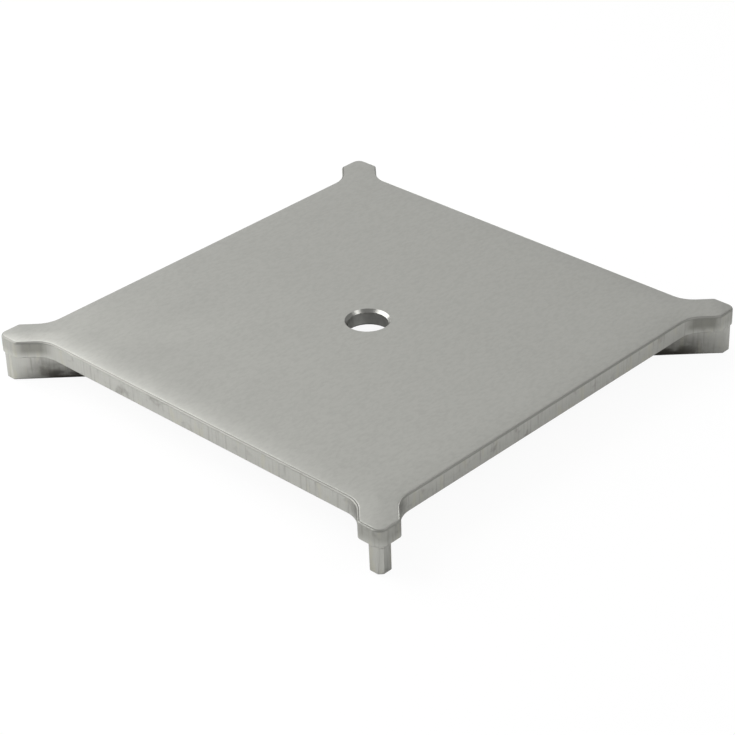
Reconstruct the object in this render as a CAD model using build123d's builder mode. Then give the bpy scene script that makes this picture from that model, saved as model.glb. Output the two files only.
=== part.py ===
"""Square stainless steel cover plate for a floor gully, made in one piece.

The plate's four sides are relieved between short corner ears, so that water runs down past each side
once the ears stand against the frame. A rib under each ear carries the plate on the frame's ledge, and a
hole in the middle takes the lifting hook.

Frame: the origin is the centre of the footprint, at the level of the rib feet. The sides run along X and
Y, the ears point along the diagonals, and +Z is up.
"""
from build123d import *
import os

# Plan of the plate
cover_width = 142.0         # over the ears' end faces, in a nominal 150 mm frame
side_relief = 6.0           # how far each side stands back from the ears' end faces
ear_width = 10.4            # across an ear, its flanks parallel to the diagonal
ear_nose_radius = 2.6
ear_shoulder_radius = 1.4
ear_root_radius = 8.0       # where an ear's flank runs into a relieved side

# Levels
plate_thickness = 5.0
rib_height = 8.3            # the plate's underside above the rib feet
top_edge_radius = 0.8
bottom_edge_radius = 0.3

# Ribs under the ears
rib_thickness = 5.2
rib_setback = 0.6           # of a rib's end faces behind the ears' end faces
rib_start = 28.0            # the inner end, from the hole's centre
rib_nose_flat = 1.6
rib_foot_radius = 0.6
rib_bite = 2.0              # how far a rib is sunk into the plate, to be fused with it

# Lifting hole
hole_diameter = 11.0
hole_chamfer = 0.8

body_width = cover_width - 2 * side_relief
diagonal_reach = cover_width * 2**0.5
rib_span = cover_width - 2 * rib_setback
rib_length = rib_span / 2**0.5 - rib_start


# One rib lies along +X. Its outer end follows the ear: two faces parallel to the plate's sides, with a
# narrow flat between them.
with BuildPart() as corner_rib:
    with BuildSketch() as rib_plan:
        Rectangle(rib_span, rib_span, rotation=45)
        chamfer(rib_plan.vertices(), rib_nose_flat / 2**0.5)
        with Locations((rib_start + rib_length / 2, 0)):
            Rectangle(rib_length, rib_thickness, mode=Mode.INTERSECT)
    extrude(amount=rib_height + rib_bite)
    fillet(corner_rib.faces().sort_by(Axis.Z)[0].edges(), rib_foot_radius)


with BuildPart() as cover_plate:
    # The ears are the corners of a full square, kept only along the two diagonals.
    with BuildSketch(Plane.XY.offset(rib_height)) as outline:
        for diagonal in (45, 135):
            Rectangle(diagonal_reach, ear_width, rotation=diagonal)
        Rectangle(cover_width, cover_width, mode=Mode.INTERSECT)
        Rectangle(body_width, body_width)
        # The corners lie, outwards from the centre, at the ears' roots, shoulders and noses.
        fillet(outline.vertices().group_by(SortBy.DISTANCE)[0], ear_root_radius)
        fillet(outline.vertices().group_by(SortBy.DISTANCE)[-2], ear_shoulder_radius)
        fillet(outline.vertices().group_by(SortBy.DISTANCE)[-1], ear_nose_radius)
    extrude(amount=plate_thickness)
    fillet(cover_plate.faces().sort_by(Axis.Z)[-1].edges(), top_edge_radius)
    fillet(cover_plate.faces().sort_by(Axis.Z)[0].edges(), bottom_edge_radius)

    with PolarLocations(0, 4, start_angle=45):
        add(corner_rib.part)

    # The lifting hole is broken at both faces.
    with Locations((0, 0, rib_height + plate_thickness)):
        Hole(hole_diameter / 2)
    hole_rims = cover_plate.edges().filter_by(GeomType.CIRCLE).filter_by(
        lambda e: abs(e.radius - hole_diameter / 2) < 0.01)
    chamfer(hole_rims, hole_chamfer)

cover_plate.part.label = "cover_plate"

os.makedirs("parts", exist_ok=True)
export_step(cover_plate.part, "parts/cover_plate.step")
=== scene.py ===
"""A square stainless steel cover plate for a floor gully, lying on a white table in a soft light tent."""
import math

import bpy
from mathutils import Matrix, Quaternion, Vector


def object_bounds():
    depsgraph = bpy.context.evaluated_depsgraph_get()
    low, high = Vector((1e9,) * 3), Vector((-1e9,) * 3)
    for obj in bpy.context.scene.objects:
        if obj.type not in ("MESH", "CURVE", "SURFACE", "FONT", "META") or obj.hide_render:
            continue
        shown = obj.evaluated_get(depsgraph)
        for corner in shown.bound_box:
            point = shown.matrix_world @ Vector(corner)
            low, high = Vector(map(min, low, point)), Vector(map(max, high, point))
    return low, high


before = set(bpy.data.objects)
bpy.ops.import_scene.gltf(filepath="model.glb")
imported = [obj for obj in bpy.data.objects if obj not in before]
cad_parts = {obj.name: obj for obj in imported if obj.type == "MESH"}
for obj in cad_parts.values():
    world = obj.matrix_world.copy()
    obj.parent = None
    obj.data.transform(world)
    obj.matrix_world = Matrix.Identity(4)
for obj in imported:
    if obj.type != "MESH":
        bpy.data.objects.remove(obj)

cad_low, cad_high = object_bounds()
MM = 0.001


# ---------------------------------------------------------------- camera
# The cover is seen from above one corner, from about four lengths away, so its sides hardly converge.
# It lies a little turned in the view, so that the left and right corners are not level.
AZIMUTH, ELEVATION, ROLL = 44.27, 31.01, -1.757      # degrees
DISTANCE = 600.1 * MM
LENS = 112.22                                       # mm, on a 36 mm sensor
aim = Vector((17.15 * MM, -18.23 * MM, cad_high.z))


def outward(azimuth, elevation):
    """Unit vector from the cover towards a point round it; azimuth 0 is in front (-Y) and 90 on the right."""
    a, e = math.radians(azimuth), math.radians(elevation)
    return Vector((math.sin(a) * math.cos(e), -math.cos(a) * math.cos(e), math.sin(e)))


camera = bpy.data.objects.new("camera", bpy.data.cameras.new("camera"))
bpy.context.scene.collection.objects.link(camera)
camera.data.lens = LENS
back = outward(AZIMUTH, ELEVATION)
camera.location = aim + DISTANCE * back
camera.rotation_mode = "QUATERNION"
camera.rotation_quaternion = (-back).to_track_quat("-Z", "Y") @ Quaternion((0, 0, 1), math.radians(ROLL))
bpy.context.scene.camera = camera
bpy.context.scene.view_settings.view_transform = "Standard"


# ---------------------------------------------------------------- light tent
# A tent of white cloth, open enough to be grey, with four sources of soft light. The left lamp is large
# and near, so the plate's left corner is its brightest. Two lit cloths hang behind and above.
TENT_LEVEL = 0.55           # 1 is white
LAMPS = {
    # name: azimuth and elevation in degrees; distance, width and height in metres; level, where 1 is white
    "left_lamp": (298, 40, 0.42, 0.42, 0.38, 4.4),
    "right_lamp": (112, 50, 0.70, 0.20, 0.20, 5.0),
    "back_cloth": (240, 22, 0.90, 1.10, 0.80, 0.34),
    "top_cloth": (205, 56, 0.80, 0.60, 0.50, 0.30),
}
WHITE = "#FFFFFF"


def srgb(text):
    """A colour written as #RRGGBB, made linear for a shader."""
    levels = [int(text[i:i + 2], 16) / 255 for i in (1, 3, 5)]
    return tuple(v / 12.92 if v <= 0.04045 else ((v + 0.055) / 1.055) ** 2.4 for v in levels) + (1.0,)


def add(tree, kind, settings=None, *inputs, **named):
    """Adds a node. Its inputs, in order or by name or i-number, are values, nodes or (node, output)."""
    made = tree.nodes.new("ShaderNode" + kind)
    for name, value in (settings or {}).items():
        setattr(made, name, value)
    sockets = [(made.inputs[i], value) for i, value in enumerate(inputs)]
    for key, value in named.items():
        sockets.append((made.inputs[int(key[1:]) if key[1:].isdigit() else key], value))
    for socket, value in sockets:
        if isinstance(value, bpy.types.Node):
            value = (value, 0)
        if isinstance(value, tuple) and isinstance(value[0], bpy.types.Node):
            tree.links.new(value[0].outputs[value[1]], socket)
        else:
            socket.default_value = value
    return made


LARGER = {"operation": "MAXIMUM"}
TIMES = {"operation": "MULTIPLY"}

world = bpy.data.worlds.new("light_tent")
bpy.context.scene.world = world
world.use_nodes = True
tree = world.node_tree
tree.nodes.clear()
ray = add(tree, "LightPath")
seen = add(tree, "Math", LARGER, (ray, "Is Camera Ray"), (ray, "Is Transmission Ray"))
tent_level = add(tree, "MapRange", None, seen, 0.0, 1.0, TENT_LEVEL, 1.0)
cloth = add(tree, "Background", Color=srgb(WHITE), Strength=tent_level)
add(tree, "OutputWorld", Surface=cloth)

for name, (azimuth, elevation, distance, width, height, level) in LAMPS.items():
    lamp = bpy.data.lights.new(name, "AREA")
    lamp.shape = "RECTANGLE"
    lamp.size, lamp.size_y = width, height
    lamp.energy = level * math.pi * width * height
    holder = bpy.data.objects.new(name, lamp)
    holder.location = distance * outward(azimuth, elevation)
    holder.rotation_mode = "QUATERNION"
    holder.rotation_quaternion = outward(azimuth, elevation).to_track_quat("Z", "Y")
    bpy.context.scene.collection.objects.link(holder)


# ---------------------------------------------------------------- table
# A sheet of matt white acrylic under the cover. It has most of its own white in what the eye sees, so
# the ground is white and the cover's shadow on it is faint. The steel mirrors it mostly as it is lit.
TABLE_HALF = 3.0
TABLE_DROP = 0.1 * MM               # below the rib feet
TABLE_WHITE = "#F4F4F4"
GLOW_SEEN = 0.94                    # share of its own light in what the eye sees
GLOW_MIRRORED = 0.08                # and in what the steel mirrors

acrylic = bpy.data.materials.new("white_acrylic_sheet")
acrylic.use_nodes = True
tree = acrylic.node_tree
tree.nodes.clear()
matt = add(tree, "BsdfDiffuse", Color=srgb(TABLE_WHITE))
glow = add(tree, "Emission", Color=srgb(WHITE), Strength=1.0)
ray = add(tree, "LightPath")
seen = add(tree, "Math", LARGER, (ray, "Is Camera Ray"), (ray, "Is Transmission Ray"))
seen_share = add(tree, "Math", TIMES, seen, GLOW_SEEN)
mirrored_share = add(tree, "Math", TIMES, (ray, "Is Glossy Ray"), GLOW_MIRRORED)
share = add(tree, "Math", LARGER, seen_share, mirrored_share)
sheet = add(tree, "MixShader", None, share, matt, glow)
add(tree, "OutputMaterial", Surface=sheet)

mesh = bpy.data.meshes.new("table")
corners = [(x * TABLE_HALF, y * TABLE_HALF, 0) for x, y in ((-1, -1), (1, -1), (1, 1), (-1, 1))]
mesh.from_pydata(corners, [], [(0, 1, 2, 3)])
mesh.materials.append(acrylic)
table = bpy.data.objects.new("table", mesh)
table.location.z = cad_low.z - TABLE_DROP
bpy.context.scene.collection.objects.link(table)


# ---------------------------------------------------------------- cover plate
# One piece of stainless steel: a thick plate with an ear at each corner and a rib under each ear. The
# flat faces are evenly ground, with softened edges. The sides show fine upright lines and blotches, and
# the lifting hole is drilled and countersunk. All sizes are in millimetres.
EAR_REACH = cad_high.x / MM
SIDE_RELIEF = 6.0           # how far a side stands back from the ears' ends
BODY_HALF = EAR_REACH - SIDE_RELIEF
EAR_HALF_WIDTH = 5.2
PLATE_THICKNESS = 5.0
UNDERSIDE = cad_high.z / MM - PLATE_THICKNESS
ROOT_BLEND = 5.0            # how softly the distance from the outline turns at an ear's root
NOSE_BLEND = 6.0            # at its nose
TIP_BLEND = 2.0             # and between its end and its flanks
EAR_CROWN = 2.0             # half width of the crown along an ear's middle
ROLL_OFF_WIDTH = 9.0        # the softened band along the outline
ROLL_OFF_DEPTH = 0.55       # for the eye only: deeper than the real one, so that it catches the light
CORNER_ZONE = 84.0          # from the middle, where the ribs come out from under the plate
HOLE_ZONE = 6.4             # radius of the drilled and countersunk part

FACE, FACE_DARK = "#AAAAA5", "#A4A49F"      # the ground faces
SIDE, SIDE_DARK = "#A9A9A4", "#8B8A85"      # the sides
STRAW = "#ABAA9F"                           # a faint warm tint in patches on the sides
FLANK_SHADE = "#787872"                           # painted shade on the ears' flanks, darker than the other sides
RIB_SHADE = "#45433E"                           # painted shade on the ribs' inner ends
SEAM_HIGHLIGHT = "#D6D5CF"                            # painted highlight: bright uneven marks where a rib meets its ear
EDGE = "#92928D"                            # the rounding along the outline
BORE, CHAMFER = "#CFCFCB", "#8B8B87"        # the drilled wall and the countersunk rims

PLUS = {"operation": "ADD"}
MINUS = {"operation": "SUBTRACT"}
SIZE_OF = {"operation": "ABSOLUTE"}
TIMES_PLUS = {"operation": "MULTIPLY_ADD"}
ROOT_OF = {"operation": "SQRT"}
SMOOTH = {"interpolation_type": "SMOOTHSTEP"}
COLOURS = {"data_type": "RGBA"}

cover_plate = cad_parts["cover_plate"]
steel = bpy.data.materials.new("ground_stainless_steel")
steel.use_nodes = True
tree = steel.node_tree
tree.nodes.clear()


def marks(length_x, length_y, length_z, detail=2.0, roughness=0.5, seed=0.0):
    """Uneven marks about as long as the given lengths in mm along X, Y and Z."""
    scaled = add(tree, "VectorMath", TIMES, place, (1 / length_x, 1 / length_y, 1 / length_z))
    shifted = add(tree, "VectorMath", PLUS, scaled, (seed, seed * 0.7, seed * 0.3))
    return add(tree, "TexNoise", Vector=shifted, Scale=1.0, Detail=detail, Roughness=roughness)


# Where a point lies on the plate, and which way it faces.
coordinates = add(tree, "TexCoord")
place = add(tree, "VectorMath", {"operation": "SCALE"}, (coordinates, "Object"), Scale=1 / MM)
axes = add(tree, "SeparateXYZ", Vector=place)
across = add(tree, "Math", SIZE_OF, (axes, 0))
along = add(tree, "Math", SIZE_OF, (axes, 1))
level = (axes, 2)
facing = add(tree, "SeparateXYZ", Vector=(coordinates, "Normal"))
facing_up = add(tree, "Math", SIZE_OF, (facing, 2))
flat = add(tree, "MapRange", SMOOTH, facing_up, 0.80, 0.97, 0.0, 1.0)
on_edge = add(tree, "MapRange", SMOOTH, facing_up, 0.2, 0.5, 0.0, 1.0)
across_squared = add(tree, "Math", TIMES, across, across)
radius = add(tree, "Math", ROOT_OF, add(tree, "Math", TIMES_PLUS, along, along, across_squared))
near_hole = add(tree, "MapRange", SMOOTH, radius, HOLE_ZONE + 0.15, HOLE_ZONE - 0.05, 0.0, 1.0)
in_hole = add(tree, "Math", TIMES, near_hole, add(tree, "MapRange", SMOOTH, facing_up, 0.95, 0.85, 0.0, 1.0))

# Distance inwards from the outline: the square's or the ear's, whichever is larger.
farther = add(tree, "Math", LARGER, across, along)
from_side = add(tree, "Math", MINUS, BODY_HALF, farther)
nose = add(tree, "Math", {"operation": "SMOOTH_MAX"}, across, along, NOSE_BLEND)
from_end = add(tree, "Math", MINUS, EAR_REACH, nose)
skew = add(tree, "Math", TIMES, add(tree, "Math", MINUS, across, along), 0.5 ** 0.5)
off_diagonal = add(tree, "Math", ROOT_OF, add(tree, "Math", TIMES_PLUS, skew, skew, EAR_CROWN ** 2))
from_flank = add(tree, "Math", MINUS, EAR_HALF_WIDTH, off_diagonal)
from_ear = add(tree, "Math", {"operation": "SMOOTH_MIN"}, from_flank, from_end, TIP_BLEND)
inwards = add(tree, "Math", {"operation": "SMOOTH_MAX"}, from_side, from_ear, ROOT_BLEND)

# The flat faces fall away smoothly towards the outline.
band_share = add(tree, "Math", {"operation": "DIVIDE"}, inwards, ROLL_OFF_WIDTH)
band = add(tree, "Math", {"operation": "SUBTRACT", "use_clamp": True}, 1.0, band_share)
sunk = add(tree, "Math", TIMES, add(tree, "Math", TIMES, band, band), -ROLL_OFF_DEPTH)

# Grinding marks on the faces, drawn coarser than they are so that they show, then the sides' upright
# lines, blotches and tinted patches, and the fine rings left by the drill, also drawn coarser.
grain = marks(0.8, 1.8, 0.8, detail=3.0, roughness=0.6)
cloud = marks(14.0, 22.0, 14.0, seed=11.0)
lines = marks(0.7, 0.7, 9.0, seed=3.0)
blotches = marks(6.0, 6.0, 6.0, detail=3.0, roughness=0.6, seed=23.0)
patches = marks(2.2, 2.2, 7.0, detail=1.0, seed=41.0)
rings = marks(40.0, 40.0, 0.6, detail=1.0, seed=5.0)
seam_marks = marks(1.6, 1.6, 0.8, seed=57.0)
rib_shade_marks = marks(5.0, 5.0, 2.5, detail=3.0, seed=71.0)

# Painted highlight: bright uneven marks, with a small bump, along the line where a rib meets its ear.
over_seam = add(tree, "MapRange", SMOOTH, level, UNDERSIDE - 0.7, UNDERSIDE - 0.2, 0.0, 1.0)
under_seam = add(tree, "MapRange", SMOOTH, level, UNDERSIDE + 0.4, UNDERSIDE, 0.0, 1.0)
seam_line = add(tree, "Math", TIMES, over_seam, under_seam)
near_rib = add(tree, "MapRange", SMOOTH, radius, CORNER_ZONE, CORNER_ZONE + 4, 0.0, 1.0)
rib_seam = add(tree, "Math", TIMES, seam_line, near_rib)
seam_highlight_and_bump = add(tree, "Math", TIMES, rib_seam, add(tree, "MapRange", SMOOTH, seam_marks, 0.42, 0.62, 0.0, 1.0))

# Painted shade on the ears' flanks, darkest away from their ends.
at_corner = add(tree, "MapRange", SMOOTH, radius, CORNER_ZONE, CORNER_ZONE + 5, 0.0, 1.0)
above = add(tree, "MapRange", SMOOTH, level, UNDERSIDE, UNDERSIDE + 2.5, 0.0, 1.0)
on_ear = add(tree, "Math", TIMES, at_corner, above)
flank_shade = add(tree, "Math", TIMES, on_ear, add(tree, "MapRange", SMOOTH, from_end, 0.3, 1.5, 0.45, 0.9))

# Painted shade: the ribs darker towards the middle and the feet, under the plate.
inner = add(tree, "MapRange", SMOOTH, radius, CORNER_ZONE + 15, CORNER_ZONE, 0.0, 1.0)
low_down = add(tree, "MapRange", SMOOTH, level, UNDERSIDE, 0.5, 0.0, 1.0)
dim = add(tree, "Math", TIMES, inner, low_down)
rib_shade = add(tree, "Math", TIMES, dim, add(tree, "MapRange", SMOOTH, rib_shade_marks, 0.3, 0.6, 0.55, 1.0))

# Colour: the sides are built up from the plain side, and the faces and the hole are laid over them.
grain_share = add(tree, "MapRange", SMOOTH, grain, 0.35, 0.7, 0.0, 1.0)
face_colour = add(tree, "Mix", COLOURS, grain_share, i6=srgb(FACE), i7=srgb(FACE_DARK))
side_colour = srgb(SIDE)
for share, colour in (
    (add(tree, "MapRange", SMOOTH, blotches, 0.56, 0.74, 0.0, 1.0), SIDE_DARK),
    (add(tree, "MapRange", SMOOTH, patches, 0.56, 0.70, 0.0, 0.7), STRAW),
    (add(tree, "MapRange", SMOOTH, lines, 0.56, 0.72, 0.0, 0.45), SIDE_DARK),
    # painted shade on the ears' flanks and the ribs' inner ends, and a painted highlight along the seams
    (flank_shade, FLANK_SHADE),
    (rib_shade, RIB_SHADE),
    (seam_highlight_and_bump, SEAM_HIGHLIGHT),
    (on_edge, EDGE),
):
    side_colour = (add(tree, "Mix", COLOURS, share, i6=side_colour, i7=srgb(colour)), 2)
plate_colour = add(tree, "Mix", COLOURS, flat, i6=side_colour, i7=(face_colour, 2))
on_rim = add(tree, "MapRange", SMOOTH, facing_up, 0.3, 0.6, 0.0, 1.0)
hole_colour = add(tree, "Mix", COLOURS, on_rim, i6=srgb(BORE), i7=srgb(CHAMFER))
steel_colour = add(tree, "Mix", COLOURS, in_hole, i6=(plate_colour, 2), i7=(hole_colour, 2))

# Roughness: satin faces, uneven sides, dull rounded edges and a smoother hole.
face_rough = add(tree, "MapRange", SMOOTH, cloud, 0.3, 0.7, 0.36, 0.42)
side_rough = add(tree, "MapRange", SMOOTH, lines, 0.3, 0.7, 0.36, 0.50)
edge_rough = add(tree, "Mix", None, on_edge, A=side_rough, B=0.55)
plate_rough = add(tree, "Mix", None, flat, A=edge_rough, B=face_rough)
rough = add(tree, "Mix", None, in_hole, A=plate_rough, B=0.28)

# Relief in mm.
face_relief = add(tree, "Math", TIMES_PLUS, grain, 0.005, sunk)
line_relief = add(tree, "Math", TIMES, lines, 0.05)
blotch_relief = add(tree, "Math", TIMES_PLUS, blotches, 0.25, line_relief)
side_relief = add(tree, "Math", TIMES_PLUS, seam_highlight_and_bump, 0.25, blotch_relief)
plate_relief = add(tree, "Mix", None, flat, A=side_relief, B=face_relief)
relief = add(tree, "Mix", None, in_hole, A=plate_relief, B=add(tree, "Math", TIMES, rings, 0.06))
bump = add(tree, "Bump", Height=relief, Distance=MM, Strength=1.0)

metal = add(tree, "BsdfPrincipled", None, (steel_colour, 2), 1.0, rough, Normal=bump)
add(tree, "OutputMaterial", Surface=metal)
for slot in cover_plate.material_slots:
    slot.material = steel
